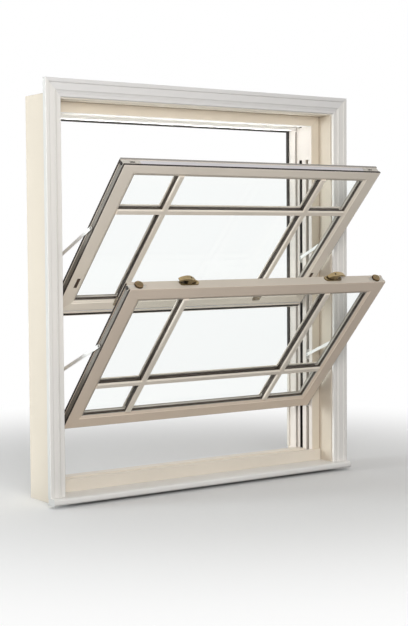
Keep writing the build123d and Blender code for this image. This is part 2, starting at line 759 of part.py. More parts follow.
def fasteners():
    """Cam fasteners: each lever arches over its base and ends in a claw on the inner side."""
    base = LOWER.level.offset(TOP)
    with BuildPart() as plates:
        for side in (-1, 1):
            with BuildSketch(base):
                with Locations((side * FASTENER_X, FASTENER_Y)):
                    SlotCenterToCenter(BASE_L - BASE_W, BASE_W)
            extrude(amount=BASE_T, taper=15)
            with BuildSketch(base.offset(BASE_T)):
                with Locations((side * FASTENER_X, FASTENER_Y)):
                    Circle(SPINDLE_R)
            extrude(amount=SPINDLE_H)
    save(plates.part, "fastener_bases")
    for side, end in ((-1, "left"), (1, "right")):
        with BuildPart() as lever:
            with BuildSketch(base.offset(BASE_T + 0.5)):
                with Locations((side * FASTENER_X, FASTENER_Y)):
                    Circle(BASE_W / 2 - 1)
                    Polygon((0, -11), (side * LEVER_OUT, -7), (side * LEVER_OUT, 7), (0, 11),
                            align=None)
                    Polygon((0, -10), (-side * CLAW_IN, -4), (-side * CLAW_IN, 8), (0, 11),
                            align=None)
            extrude(amount=26)
            # the side view cuts the arch of the handle and the hollow under it
            with BuildSketch(LOWER.glass.offset(-T2)):
                with BuildLine(Plane.XY):
                    x = side * FASTENER_X
                    top = ThreePointArc((x - side * CLAW_IN, TOP + 10), (x + side * 14, TOP + 26),
                                        (x + side * LEVER_OUT, TOP + 19))
                    under = ThreePointArc((x + side * LEVER_OUT, TOP + 15),
                                          (x + side * 31, TOP + 18.5), (x + side * 13, TOP + 18))
                    Polyline(top @ 1, under @ 0)
                    Polyline(under @ 1, (x + side * 13, TOP + BASE_T + 0.5),
                             (x - side * CLAW_IN, TOP + BASE_T + 0.5), top @ 0)
                make_face()
            extrude(amount=SASH_T, mode=Mode.INTERSECT)
            with BuildSketch(base):
                with Locations((side * FASTENER_X, FASTENER_Y)):
                    Circle(SPINDLE_R + RUNNING)
            extrude(amount=30, mode=Mode.SUBTRACT)
        save(lever.part, f"fastener_lever_{end}")


def meeting_rail_fittings():
    """Keepers on the upper sash's meeting rail, and a limit stop in each stile."""
    with BuildPart() as keepers:
        for side in (-1, 1):
            with BuildSketch(UPPER.glass.offset(T2)):
                with Locations((side * FASTENER_X, LOW + KEEPER_UP)):
                    plate = Rectangle(KEEPER_W, KEEPER_H)
                    chamfer(plate.vertices(), 5)
                with Locations((side * FASTENER_X, LOW + KEEPER_UP + KEEPER_H / 4)):
                    Rectangle(KEEPER_W - 12, KEEPER_WINDOW, mode=Mode.SUBTRACT)
            extrude(amount=KEEPER_T)
    save(keepers.part, "fastener_keepers")
    hinge_w, hinge_up = -T2 + 4, STOP_UP - STOP_L / 2 + 8
    with BuildPart() as trays:
        for side in (-1, 1):
            with BuildSketch(UPPER.glass.offset(T2 - STOP_DEEP)):
                with Locations((side * STOP_X, STOP_UP)):
                    Rectangle(STOP_W - 2 * LATCH_FIT, STOP_L - 2 * LATCH_FIT)
            extrude(amount=STOP_DEEP)
            with BuildSketch(UPPER.glass.offset(T2 - STOP_DEEP + STOP_WALL)):
                with Locations((side * STOP_X, STOP_UP)):
                    Rectangle(STOP_W - 2 * STOP_WALL, STOP_L - 2 * STOP_WALL)
            extrude(amount=STOP_DEEP - STOP_WALL, mode=Mode.SUBTRACT)
            with BuildSketch(UPPER.across.offset(side * STOP_X - STOP_W / 2 + STOP_WALL)):
                with Locations((hinge_w, hinge_up)):
                    Circle(STOP_PIN_R)
            extrude(amount=STOP_W - 2 * STOP_WALL)
    save(trays.part, "limit_stop_trays")
    for side, end in ((-1, "left"), (1, "right")):
        width = STOP_W - 2 * STOP_WALL - 2 * LATCH_FIT
        with BuildPart() as tongue:
            with BuildSketch(UPPER.across.offset(side * STOP_X - width / 2)):
                Polygon(
                    (-T2 + STOP_DEEP - STOP_WALL - 1, hinge_up),
                    (-T2 + STOP_DEEP - STOP_WALL - 1, hinge_up + 30),
                    (-T2 + 0.5, hinge_up + 30),
                    (-T2 - 1.0, hinge_up + 27),
                    (-T2 - 1.0, hinge_up + 5),
                    (-T2 + 1, hinge_up - 3),
                    (-T2 + 4, hinge_up - 4),
                    align=None,
                )
                with Locations((hinge_w, hinge_up)):
                    Circle(STOP_PIN_R + RUNNING, mode=Mode.SUBTRACT)
            extrude(amount=width)
        save(tongue.part, f"limit_stop_tongue_{end}")


sash_frame(LOWER, LOWER_MEETING, BOTTOM_RAIL, LOWER_ARM_UP, "lower", "bottom", stops=False)
sash_frame(UPPER, TOP_RAIL, UPPER_MEETING, UPPER_ARM_UP, "upper", "top", stops=True)
glazing(LOWER, LOWER_MEETING, BOTTOM_RAIL, LOWER_BAR_UP, "lower", "bottom")
glazing(UPPER, TOP_RAIL, UPPER_MEETING, UPPER_BAR_UP, "upper", "top")
pivots_and_arms(LOWER, LOWER_Y, LOWER_ARM_UP, "lower")
pivots_and_arms(UPPER, UPPER_Y, UPPER_ARM_UP, "upper")
latches(LOWER, True, "lower")
latches(UPPER, False, "upper")
fasteners()
meeting_rail_fittings()
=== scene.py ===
import bpy
import bmesh
import json
import math
from mathutils import Matrix, Vector


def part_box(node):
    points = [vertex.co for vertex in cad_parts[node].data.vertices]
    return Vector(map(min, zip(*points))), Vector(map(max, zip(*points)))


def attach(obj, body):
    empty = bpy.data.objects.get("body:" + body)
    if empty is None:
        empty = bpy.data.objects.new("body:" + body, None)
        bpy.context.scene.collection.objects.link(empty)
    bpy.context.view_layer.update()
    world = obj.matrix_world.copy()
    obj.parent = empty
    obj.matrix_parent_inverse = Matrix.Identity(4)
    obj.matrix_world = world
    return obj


# Looks of the tilted sash window. Metres, X right seen from the room, Y outdoors, Z up.
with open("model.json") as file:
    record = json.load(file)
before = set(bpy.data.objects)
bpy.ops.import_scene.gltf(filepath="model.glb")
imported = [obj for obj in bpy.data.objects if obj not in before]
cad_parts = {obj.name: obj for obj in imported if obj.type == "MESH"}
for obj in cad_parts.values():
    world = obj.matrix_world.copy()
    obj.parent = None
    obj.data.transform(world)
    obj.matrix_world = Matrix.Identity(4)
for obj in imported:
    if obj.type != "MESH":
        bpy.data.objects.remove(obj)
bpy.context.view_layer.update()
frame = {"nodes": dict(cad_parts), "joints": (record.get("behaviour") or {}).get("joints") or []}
nodes = frame["nodes"]
MM = 0.001
X, Y, Z = range(3)

# sashes: millimetres from the pivot, up the stile
SASH_FOOT, SASH_TOP = -10, 680
RAILS = {"lower": (56, 57), "upper": (44, 46)}  # heights of the top and the bottom rail
STILE = 57  # width
PANE_FACE = 12  # from the sealed unit's middle to each of its faces
PANE_EDGE = 15  # how far in from the members the spacer still runs along the edge

# frame: metres, X from the middle of the window
WALL_SIDE_X = 0.62  # half the width, past which the sides are those that the wall covers
INSIDE_X, INSIDE_TOP_Z = 0.6095, 1.43  # half width and top of the space for the sashes
INSIDE_Y, INSIDE_HALF = -0.004, 0.0655  # its middle and half its depth
CHANNEL_X = (0.5753, 0.608)  # a balance channel's hollow
CHANNEL_Y = {"lower": -0.0425, "upper": -0.002}  # middle of each sash's channel
CHANNEL_HALF = 0.0132  # half the depth of the hollow
HEAD_PILE_Z = 1.368  # above this the pile is the head's
SEAL_FOOT_Z = 0.45  # below this the weather seal is pale
ARM_FACE_X = 0.5683  # face of an arm's eye, towards the sash
ARM_FOOT_Z = {"lower": 0.465969, "upper": 0.857918}  # middle of the eye

# fittings: millimetres
FASTENER_X = 321  # middle of the window to the middle of each fastener
FASTENER_TOP = SASH_TOP + 4  # top of a fastener's base plate
LATCH_SCREW_IN, KNOB_IN = 66, 40  # from the sash's edge
KNOB_RIM, KNOB_TOP = 14.9, 10.2  # radius, and height over the rail
KNURL_FOOT, KNURL_TOP = 0.9, 7.4


# places on the window, from its joints and nodes
def joint(name):
    return next(j for j in frame["joints"] if j["name"] == name)


class Sash:
    """Axes of a sash at rest, tilted: across its width, out through its glass, up its stiles."""

    def __init__(self, name):
        self.name = name
        tilt = joint(name + "_tilt")
        self.pivot = Vector(tilt["pos_m"])
        self.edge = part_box(name + "_stile_right")[1].x
        self.angle = math.radians(tilt["range_deg"][1])
        c, s = math.cos(self.angle), math.sin(self.angle)
        self.across = Vector((1, 0, 0))
        self.out = Vector((0, c, s))
        self.up = Vector((0, -s, c))

    def at(self, across, out, up):
        """A point of the sash from millimetres along its own axes."""
        return self.pivot + (self.across * across + self.out * out + self.up * up) * MM

    def inward(self, distance):
        """Millimetres from the middle of the window to a place so far in from the edge."""
        return self.edge / MM - distance

    def level(self, direction, distance=0):
        """Metres along a direction to the plane so many millimetres past the pivot."""
        return self.pivot.dot(direction) + distance * MM


LOWER = Sash("lower")
UPPER = Sash("upper")
SASHES = (LOWER, UPPER)


# materials
def linear(tone):
    """A colour written in screen values from 0 to 255, as the shader takes it."""
    def one(v):
        v /= 255
        return v / 12.92 if v <= 0.04045 else ((v + 0.055) / 1.055) ** 2.4
    return tuple(one(v) for v in tone) + (1.0,)


def shade(tone, factor):
    """A screen tone, darker or lighter by the factor."""
    return tuple(c * factor for c in linear(tone)[:3]) + (1.0,)


class Tree:
    """Short ways to add shader nodes and to join them."""

    def __init__(self, tree):
        self.nodes, self.links = tree.nodes, tree.links

    def add(self, kind, **settings):
        node = self.nodes.new("ShaderNode" + kind)
        for key, value in settings.items():
            setattr(node, key, value)
        return node

    def put(self, value, socket):
        """Links another node's output to the socket, or sets the socket to a plain value."""
        if isinstance(value, bpy.types.NodeSocket):
            self.links.new(value, socket)
        else:
            socket.default_value = value

    def math(self, operation, *values):
        node = self.add("Math", operation=operation)
        for value, socket in zip(values, node.inputs):
            self.put(value, socket)
        return node.outputs[0]

    def over(self, value, limit):
        return self.math("GREATER_THAN", value, limit)

    def under(self, value, limit):
        return self.math("LESS_THAN", value, limit)

    def all_of(self, mask, *others):
        """One where every mask is one."""
        for other in others:
            mask = self.math("MULTIPLY", mask, other)
        return mask

    def any_of(self, mask, *others):
        """One where at least one mask is one."""
        for other in others:
            mask = self.math("MAXIMUM", mask, other)
        return mask

    def split(self, vector):
        """The three numbers of a vector."""
        node = self.add("SeparateXYZ")
        self.put(vector, node.inputs["Vector"])
        return node.outputs

    def dot(self, vector, direction):
        """How far a vector reaches along a direction."""
        node = self.add("VectorMath", operation="DOT_PRODUCT")
        self.put(vector, node.inputs[0])
        self.put(direction, node.inputs[1])
        return node.outputs["Value"]

    def spread(self, fac, low, high):
        """A value from 0 to 1 as one from low to high."""
        node = self.add("MapRange")
        for value, key in ((fac, "Value"), (low, "To Min"), (high, "To Max")):
            self.put(value, node.inputs[key])
        return node.outputs["Result"]

    def smooth(self, fac, start, end, low=0, high=1):
        """A soft step from low to high, taken while the value goes from start to end."""
        node = self.add("MapRange", interpolation_type="SMOOTHSTEP")
        for value, key in ((fac, "Value"), (start, "From Min"), (end, "From Max"),
                           (low, "To Min"), (high, "To Max")):
            self.put(value, node.inputs[key])
        return node.outputs["Result"]

    def ray(self, *kinds):
        """One for rays of any of these kinds."""
        outputs = self.add("LightPath").outputs
        return self.any_of(*(outputs[f"Is {kind} Ray"] for kind in kinds))

    def either(self, fac, first, second):
        """The first shader at 0, the second at 1."""
        node = self.add("MixShader")
        for value, socket in zip((fac, first, second), node.inputs):
            self.put(value, socket)
        return node.outputs["Shader"]


class Shader(Tree):
    """A material whose colour, roughness and bump come from noise in the object's own space."""

    def __init__(self, name, **sockets):
        self.material = bpy.data.materials.new(name)
        self.material.use_nodes = True
        super().__init__(self.material.node_tree)
        self.bsdf = self.nodes["Principled BSDF"]
        for key, value in sockets.items():
            self.bsdf.inputs[key.replace("_", " ")].default_value = value
        self.coords = self.add("TexCoord").outputs["Object"]

    def noise(self, scale, detail=3.0, turn=(0, 0, 0)):
        """Clouds of one scale, or of three along axes that can be turned."""
        if isinstance(scale, (int, float)):
            scale = (scale,) * 3
        turned = any(turn)
        place = self.add("Mapping", vector_type="TEXTURE" if turned else "POINT")
        place.inputs["Rotation"].default_value = turn
        place.inputs["Scale"].default_value = [1 / s for s in scale] if turned else scale
        self.put(self.coords, place.inputs["Vector"])
        node = self.add("TexNoise")
        for value, key in ((place.outputs["Vector"], "Vector"), (1.0, "Scale"),
                           (detail, "Detail"), (0.55, "Roughness")):
            self.put(value, node.inputs[key])
        return node.outputs["Fac"]

    def ramp(self, fac, low, high, places):
        """The colour low up to the first place, the colour high from the second one on."""
        node = self.add("ValToRGB")
        for element, place, colour in zip(node.color_ramp.elements, places, (low, high)):
            element.position = place
            element.color = colour
        self.put(fac, node.inputs["Fac"])
        return node.outputs["Color"]

    def between(self, fac, dark, light, places=(0.3, 0.7)):
        """Clouds between two screen tones."""
        return self.ramp(fac, linear(dark), linear(light), places)

    def cloudy(self, fac, tone, low, high, places=(0.3, 0.7)):
        """Clouds between two shades of one screen tone."""
        return self.ramp(fac, shade(tone, low), shade(tone, high), places)

    def mix(self, fac, first, second):
        """The first colour at 0, the second at 1."""
        node = self.add("Mix", data_type="RGBA")
        sockets = (node.inputs["Factor"], *node.inputs[6:8])
        for value, socket in zip((fac, first, second), sockets):
            self.put(value, socket)
        return node.outputs[2]

    def away(self, axis, middle=0):
        """How far the point is along one axis from a place on it."""
        along = self.split(self.coords)[axis]
        return self.math("ABSOLUTE", self.math("SUBTRACT", along, middle))

    def beyond(self, direction, distance):
        """One where the point lies farther along the direction than the distance."""
        return self.over(self.dot(self.coords, direction), distance)

    def facing(self, direction):
        """One where the surface looks along the direction or against it, within 25 degrees."""
        normal = self.add("TexCoord").outputs["Normal"]
        return self.over(self.math("ABSOLUTE", self.dot(normal, direction)), 0.9)

    def colour(self, value):
        self.put(value, self.bsdf.inputs["Base Color"])

    def rough(self, value):
        self.put(value, self.bsdf.inputs["Roughness"])

    def bump(self, *heights, soft_edge=0.0):
        """Each height is a noise value and its depth; the edge's radius is also in metres."""
        normal = None
        if soft_edge:
            bevel = self.add("Bevel", samples=4)
            bevel.inputs["Radius"].default_value = soft_edge
            normal = bevel.outputs["Normal"]
        for value, depth in heights:
            node = self.add("Bump")
            node.inputs["Distance"].default_value = depth
            self.put(value, node.inputs["Height"])
            if normal:
                self.put(normal, node.inputs["Normal"])
            normal = node.outputs["Normal"]
        self.put(normal, self.bsdf.inputs["Normal"])

    def skin(self):
        """The fine roughness of moulded plastic and rubber."""
        self.bump((self.noise(350, detail=2), 0.00004), soft_edge=0.0005)

    def surface(self, shader):
        self.put(shader, self.nodes["Material Output"].inputs["Surface"])


def foil(name, grain, base, turn=(0, 0, 0), marks=()):
    """Cream foiled profile: a faint grain along the member, handling marks and soft edges.

    Each mark is a mask and the tone of the surface there; most marks are painted light and
    shade, and the whiter inside of the frame is partly bare white plastic."""
    m = Shader(name, Roughness=0.42, IOR=1.46)
    along = m.noise(grain, detail=5, turn=turn)
    cloud = m.noise(3, detail=4)
    tone = m.cloudy(cloud, base, 0.94, 1.03)
    for mask, bare in marks:
        tone = m.mix(mask(m), tone, m.cloudy(cloud, bare, 0.96, 1.02))
    m.colour(tone)
    m.rough(m.spread(cloud, 0.36, 0.5))
    m.bump((along, 0.00006), (m.noise(900, detail=2), 0.00002), soft_edge=0.0009)
    return m.material


def painted(name, base, grain, dust=0.96, marks=()):
    """Gloss paint with brush marks along the length and dust in clouds; each mark is a mask with
    a darker tone there, painted shade.
    """
    patches = (0.32, 0.68)
    m = Shader(name, Roughness=0.38)
    strokes = m.noise(grain, detail=4)
    cloud = m.noise(2.2, detail=5)
    tone = m.cloudy(cloud, base, dust, 1, patches)
    for mask, other in marks:
        tone = m.mix(mask(m), tone, m.cloudy(cloud, other, 0.9, 1, patches))
    m.colour(tone)
    m.rough(m.spread(cloud, 0.3, 0.46))
    m.bump((strokes, 0.00012), (m.noise(160, detail=2), 0.00005), soft_edge=0.0012)
    return m.material


def plain_plastic(name, base, roughness):
    m = Shader(name, Roughness=roughness)
    m.colour(m.cloudy(m.noise(9, detail=4), base, 0.92, 1.04))
    m.skin()
    return m.material


def metal(name, light, dark, roughness, brushed):
    """Plated or brushed metal with darker tarnish in its clouds."""
    m = Shader(name, Metallic=1.0, Roughness=roughness)
    cloud = m.noise(120, detail=5)
    m.colour(m.between(cloud, dark, light, (0.2, 0.5)))
    m.rough(m.spread(cloud, roughness + 0.14, roughness - 0.06))
    m.bump((m.noise(brushed), 0.00003), soft_edge=0.0004)
    return m.material


def aged_and_shaded(name, light, dark, mask=None, body=None):
    """Plated brass: light on its open faces, dark in its hollows, which is partly tarnish and
    partly painted shade.

    Where there is a mask, the piece outside it is plain and has the body tone."""
    plating = 0.85
    m = Shader(name, Metallic=plating, Roughness=0.34)
    hollow = m.add("AmbientOcclusion", samples=6)
    hollow.inputs["Distance"].default_value = 0.02
    cloud = m.noise(45, detail=5)
    open_face = m.cloudy(cloud, light, 0.78, 1, (0.35, 0.65))
    # the occlusion darkens the hollows: painted shade, together with the brass's tarnish
    age_and_shade = m.ramp(hollow.outputs["AO"], (1, 1, 1, 1), (0, 0, 0, 1), (0.45, 0.95))
    tone = m.mix(age_and_shade, open_face, linear(dark))
    if mask:
        plated = mask(m)
        tone = m.mix(plated, linear(body), tone)
        m.put(m.math("MULTIPLY", plated, plating), m.bsdf.inputs["Metallic"])
    m.colour(tone)
    m.rough(m.spread(cloud, 0.42, 0.28))
    m.bump((m.noise(500), 0.00003), soft_edge=0.0004)
    return m.material


def clear_glass(name):
    """Float glass, with a weak green body colour, that lets lamp light through its shadow."""
    m = Shader(name, Base_Color=(0.985, 0.996, 0.992, 1), Roughness=0.0, IOR=1.15,
               Transmission_Weight=1.0)
    m.bump((m.noise(3, detail=1), 0.0002))
    through = m.add("BsdfTransparent").outputs["BSDF"]
    m.surface(m.either(m.ray("Shadow"), m.bsdf.outputs["BSDF"], through))
    return m.material


# masks, which take the shader: one inside, zero elsewhere
def facing(direction):
    return lambda m: m.facing(direction)


def outer_side(m):
    """The sides that the wall would cover."""
    return m.all_of(m.over(m.away(X), WALL_SIDE_X), m.facing((1, 0, 0)))


def inside_frame(m):
    """The frame's inner faces, between its room face and its outdoor face."""
    return m.all_of(m.under(m.away(X), INSIDE_X),
                    m.under(m.away(Y, INSIDE_Y), INSIDE_HALF),
                    m.under(m.split(m.coords)[Z], INSIDE_TOP_Z))


def stop_face(m):
    """Those inner faces that look into the room."""
    return m.all_of(inside_frame(m), m.facing((0, 1, 0)))


def channel(sash):
    """The hollow of the channel that the sash's balance hangs in."""
    def mask(m):
        wide = m.away(X)
        return m.all_of(m.over(wide, CHANNEL_X[0]), m.under(wide, CHANNEL_X[1]),
                        m.under(m.away(Y, CHANNEL_Y[sash.name]), CHANNEL_HALF))
    return mask


def knob(m):
    """The part of a bolt that stands above the lower top rail."""
    return m.beyond(LOWER.up, LOWER.level(LOWER.up, SASH_TOP + 0.2))


# noise scales that give a grain or brush marks along one axis
GRAIN_X, GRAIN_Z = (12, 420, 420), (420, 420, 12)
BRUSH_X, BRUSH_Z = (9, 260, 260), (260, 260, 9)
ACROSS = (1, 0, 0)

# the lower sash's cream is darker than the upper sash's: painted shade on one and the same foil,
# whose upper tone the bars of both sashes keep
CREAM = {"lower": (230, 213, 195), "upper": (241, 231, 217)}
# the rails' top edges: darker on the lower sash, painted shade; grey-blue on the upper sash,
# painted shade with a painted sky reflection
EDGE_SHADE_AND_SKY = {"lower": (207, 197, 183), "upper": (216, 214, 217)}
# the sashes' sides, far darker than their faces: painted shade
SIDE_SHADE = (126, 121, 114)
# the outer sides of the architraves and the board are darker: painted shade, which keeps them
# from glaring in the daylight lamp
SHADED_OUTER_SIDES = [(outer_side, (206, 204, 200))]

foil_x = foil("foil_rails", GRAIN_X, (230, 221, 207))
foil_head = foil("foil_head", GRAIN_X, (232, 220, 202), marks=[
    # inside the frame the head is whiter: partly bare white plastic, partly painted daylight;
    # its room-facing faces are whiter still: painted light on faces in the lining's shadow
    (inside_frame, (246, 243, 238)),
    (stop_face, (251, 248, 243)),
])
foil_jambs = foil("foil_jambs", GRAIN_Z, (224, 213, 195), marks=[
    # outer sides darker: painted shade; inner faces paler: partly bare plastic, partly painted
    # daylight; the lower channel's hollow light: painted light; the upper channel's hollow near
    # black: painted shade
    (outer_side, (210, 199, 183)),
    (inside_frame, (225, 217, 209)),
    (channel(LOWER), (205, 198, 188)),
    (channel(UPPER), (34, 31, 29)),
])
foil_of, foil_bars, foil_rail = {}, {}, {}
for sash in SASHES:
    lean = (sash.angle, 0, 0)
    foil_of[sash.name] = foil(f"foil_{sash.name}_stiles", GRAIN_Z, CREAM[sash.name], lean,
                              [(facing(ACROSS), SIDE_SHADE)])
    foil_bars[sash.name] = foil(f"foil_{sash.name}_bars", GRAIN_Z, CREAM["upper"], lean)
    foil_rail[sash.name] = foil(f"foil_{sash.name}_rails", GRAIN_X, CREAM[sash.name],
                                marks=[(facing(sash.up), EDGE_SHADE_AND_SKY[sash.name])])
# the upper sash's meeting rail is lighter than its cream: painted light on a rail in shade
foil_meeting = foil("foil_upper_meeting", GRAIN_X, (250, 241, 227),
                    marks=[(facing(UPPER.up), EDGE_SHADE_AND_SKY["upper"])])

# one white paint in three tones: lighter on the architrave sides and lighter still on the board
# than on the head, which is painted light
paint_x = painted("paint_head", (231, 229, 227), BRUSH_X)
paint_z = painted("paint_sides", (238, 235, 230), BRUSH_Z, marks=SHADED_OUTER_SIDES)
paint_board = painted("paint_board", (242, 240, 236), BRUSH_X, 0.93, SHADED_OUTER_SIDES)
# the head lining is much lighter than the side linings: painted light on a face that looks down
# into shade
lining_z = painted("lining_sides", (210, 199, 183), (200, 200, 14))
lining_x = painted("lining_top", (244, 237, 224), (14, 200, 200))
arm_enamel = painted("arm_enamel", (247, 246, 243), (300, 300, 60))

FUZZ = (0.35, 0.65)


def brush_pile(name, sheen):
    """A dense fuzz, whose tones are still to come."""
    m = Shader(name, Roughness=0.95, Sheen_Weight=sheen, Sheen_Roughness=0.5)
    fuzz = m.noise(1500)
    m.bump((fuzz, 0.0006))
    return m, fuzz


def stop_pile():
    """Pile on the outdoor stop: grey down the jambs, and near white under the head, which is
    painted light on pile in shade.
    """
    m, fuzz = brush_pile("stop_pile", 0.4)
    pale = m.between(fuzz, (236, 233, 228), (252, 250, 246), FUZZ)
    grey = m.between(fuzz, (120, 117, 112), (178, 174, 168), FUZZ)
    # the near white above the jambs is painted light
    m.colour(m.mix(m.beyond((0, 0, 1), HEAD_PILE_Z), grey, pale))
    return m.material


def edge_pile(sash):
    """Near black, but pale grey on the outdoor half of the upper sash's top edge."""
    m, fuzz = brush_pile(f"{sash.name}_edge_pile", 0.15)
    tone = m.between(fuzz, (22, 18, 15), (60, 48, 40), FUZZ)
    if sash is UPPER:
        hairs = m.noise((2400, 500, 500), detail=2)
        pale = m.between(hairs, (142, 138, 132), (178, 173, 166), FUZZ)
        outdoors = m.beyond(sash.out, sash.level(sash.out))
        high = m.beyond(sash.up, sash.level(sash.up, SASH_TOP - 5))
        tone = m.mix(m.all_of(outdoors, high), tone, pale)
    m.colour(tone)
    return m.material


def weather_rubber():
    """A seal that is dark round the upper sash and pale at the foot of the jambs."""
    m = Shader("weather_rubber", Roughness=0.65)
    cloud = m.noise(9, detail=4)
    dark = m.between(cloud, (40, 37, 34), (52, 48, 45))
    pale = m.between(cloud, (206, 200, 190), (218, 212, 203))
    m.colour(m.mix(m.beyond((0, 0, 1), SEAL_FOOT_Z), pale, dark))
    m.skin()
    return m.material


def spacer_of(sash):
    """A dark spacer whose outdoor half, round the pane's edge, is a paler grey."""
    m = Shader(sash.name + "_spacer", Roughness=0.55)
    top_rail, bottom_rail = RAILS[sash.name]
    side = m.over(m.away(X), sash.inward(STILE + PANE_EDGE) * MM)
    above = m.beyond(sash.up, sash.level(sash.up, SASH_TOP - top_rail - PANE_EDGE))
    inner = m.beyond(sash.up, sash.level(sash.up, SASH_FOOT + bottom_rail + PANE_EDGE))
    edge = m.any_of(side, above, m.math("SUBTRACT", 1, inner))
    outdoors = m.beyond(sash.out, sash.level(sash.out, 1))
    cloud = m.noise(9, detail=4)
    dark = m.between(cloud, (55, 46, 39), (66, 57, 49))
    pale = m.between(cloud, (176, 170, 160), (194, 188, 178))
    m.colour(m.mix(m.all_of(edge, outdoors), dark, pale))
    m.skin()
    return m.material


stop_brush = stop_pile()
rubber = weather_rubber()
brushes = {sash.name: edge_pile(sash) for sash in SASHES}
spacers = {sash.name: spacer_of(sash) for sash in SASHES}
glass = clear_glass("clear_glass")
balance_cream = plain_plastic("balance_cream", (214, 208, 194), 0.5)
shoe_grey = plain_plastic("shoe_grey", (170, 166, 158), 0.55)
latch_cream = plain_plastic("latch_cream", (205, 200, 190), 0.5)
latch_black = plain_plastic("latch_black", (46, 42, 40), 0.5)
stop_brown = plain_plastic("stop_brown", (72, 52, 36), 0.45)
gasket_grey = plain_plastic("gasket_grey", (188, 181, 170), 0.6)
painted_recess_shade = plain_plastic("painted_recess_shade", (30, 26, 22), 0.7)
sealant = plain_plastic("sealant", (186, 168, 150), 0.5)
steel = metal("plated_steel", (196, 196, 194), (150, 150, 148), 0.32, (900, 900, 40))
pale_bronze = metal("pale_bronze", (186, 176, 160), (126, 112, 92), 0.36, 500)
gold = aged_and_shaded("antique_gold", (186, 164, 122), (26, 18, 9))
knob_gold = aged_and_shaded("knobbed_bolt", (158, 132, 100), (32, 22, 13), knob, (58, 54, 51))

FINISHES = {
    foil_x: ["frame_cill"],
    foil_head: ["frame_head"],
    foil_rail["lower"]: ["lower_top_rail", "lower_bottom_rail"],
    foil_rail["upper"]: ["upper_top_rail"],
    foil_meeting: ["upper_bottom_rail"],
    foil_jambs: ["frame_jamb_left", "frame_jamb_right"],
    foil_of["lower"]: ["lower_stile_left", "lower_stile_right"],
    foil_of["upper"]: ["upper_stile_left", "upper_stile_right"],
    foil_bars["lower"]: ["lower_bars_room", "lower_bars_outer"],
    foil_bars["upper"]: ["upper_bars_room", "upper_bars_outer"],
    paint_x: ["architrave_head"],
    paint_z: ["architrave_left", "architrave_right"],
    paint_board: ["window_board"],
    lining_z: ["lining_left", "lining_right"],
    lining_x: ["lining_head"],
    stop_brush: ["stop_pile_seal"],
    brushes["lower"]: ["lower_edge_seals"],
    brushes["upper"]: ["upper_edge_seals"],
    rubber: ["outer_weather_seal"],
    glass: ["lower_panes", "upper_panes"],
    spacers["lower"]: ["lower_spacer"],
    spacers["upper"]: ["upper_spacer"],
    balance_cream: ["lower_balance_tubes", "upper_balance_tubes", "balance_head_blocks"],
    shoe_grey: ["lower_balance_shoes", "upper_balance_shoes", "lower_arm_sliders",
                "upper_arm_sliders"],
    latch_cream: ["lower_latch_housings", "upper_latch_housings"],
    latch_black: ["upper_latch_bolt_left", "upper_latch_bolt_right"],
    knob_gold: ["lower_latch_bolt_left", "lower_latch_bolt_right"],
    stop_brown: ["limit_stop_trays", "limit_stop_tongue_left", "limit_stop_tongue_right"],
    steel: ["lower_balance_rods", "upper_balance_rods", "lower_pivot_pins",
            "upper_pivot_pins", "lower_arm_studs", "upper_arm_studs"],
    arm_enamel: ["lower_arms", "upper_arms"],
    gold: ["fastener_bases", "fastener_lever_left", "fastener_lever_right"],
    pale_bronze: ["fastener_keepers"],
}
for finish, names in FINISHES.items():
    for name in names:
        for place in nodes[name].material_slots:
            place.material = finish


def placed(name, data):
    """A new object in the scene."""
    thing = bpy.data.objects.new(name, data)
    bpy.context.scene.collection.objects.link(thing)
    return thing


# details that ride on the moving bodies
HALF_ROUND = ((-0.5, 0), (-0.42, 0.6), (-0.2, 0.94), (0.2, 0.94), (0.42, 0.6), (0.5, 0))
GASKET, KNURL, GRIP = (2.6, 1.8), (1.9, 0.8), (3.0, 1.6)  # width and height in millimetres


def grow(name, material, body, build):
    """One new piece, whose mesh the build function draws."""
    bm = bmesh.new()
    build(bm)
    bmesh.ops.recalc_face_normals(bm, faces=bm.faces)
    mesh = bpy.data.meshes.new(name)
    bm.to_mesh(mesh)
    bm.free()
    mesh.materials.append(material)
    piece = placed(name, mesh)
    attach(piece, body)


def bead(bm, start, end, across, lift, width, height):
    """A half-round strip in millimetres of width and height, from start to end."""
    rings = [
        [bm.verts.new(p + across * (width * MM * u) + lift * (height * MM * h))
         for u, h in HALF_ROUND]
        for p in (start, end)
    ]
    last = len(HALF_ROUND) - 1
    for i in range(last):
        bm.faces.new((rings[0][i], rings[0][i + 1], rings[1][i + 1], rings[1][i]))
    bm.faces.new((rings[0][0], rings[1][0], rings[1][last], rings[0][last]))
    bm.faces.new(rings[0])
    bm.faces.new(rings[1][::-1])


def dome(bm, centre, normal, profile, segments=20):
    """A turned form: radius and height pairs in millimetres, from the rim to the middle."""
    side_a = normal.orthogonal().normalized()
    side_b = normal.cross(side_a)
    rings = []
    for radius, height in profile:
        rings.append([
            bm.verts.new(centre + normal * height * MM + (
                side_a * math.cos(2 * math.pi * k / segments)
                + side_b * math.sin(2 * math.pi * k / segments)) * radius * MM)
            for k in range(segments)
        ])
    for one, two in zip(rings, rings[1:]):
        for k in range(segments):
            j = (k + 1) % segments
            bm.faces.new((one[k], one[j], two[j], two[k]))
    bm.faces.new(rings[0][::-1])
    bm.faces.new(rings[-1])


# radius and height in millimetres, but a screw's radii are shares of its own
SCREW = ((1, -0.2), (1, 0.1), (0.86, 0.5), (0.5, 0.75), (0.2, 0.8))
RIVET = ((2.9, -2.4), (2.9, 0.05), (4.6, 0.05), (4.6, 0.45), (3.6, 0.85), (1.2, 1.0))
RECESS_LEVEL, RECESS_HEIGHT = 0.62, 0.26
RECESS_REACH, RECESS_WIDTH = 0.55, 0.28  # shares of the screw's radius


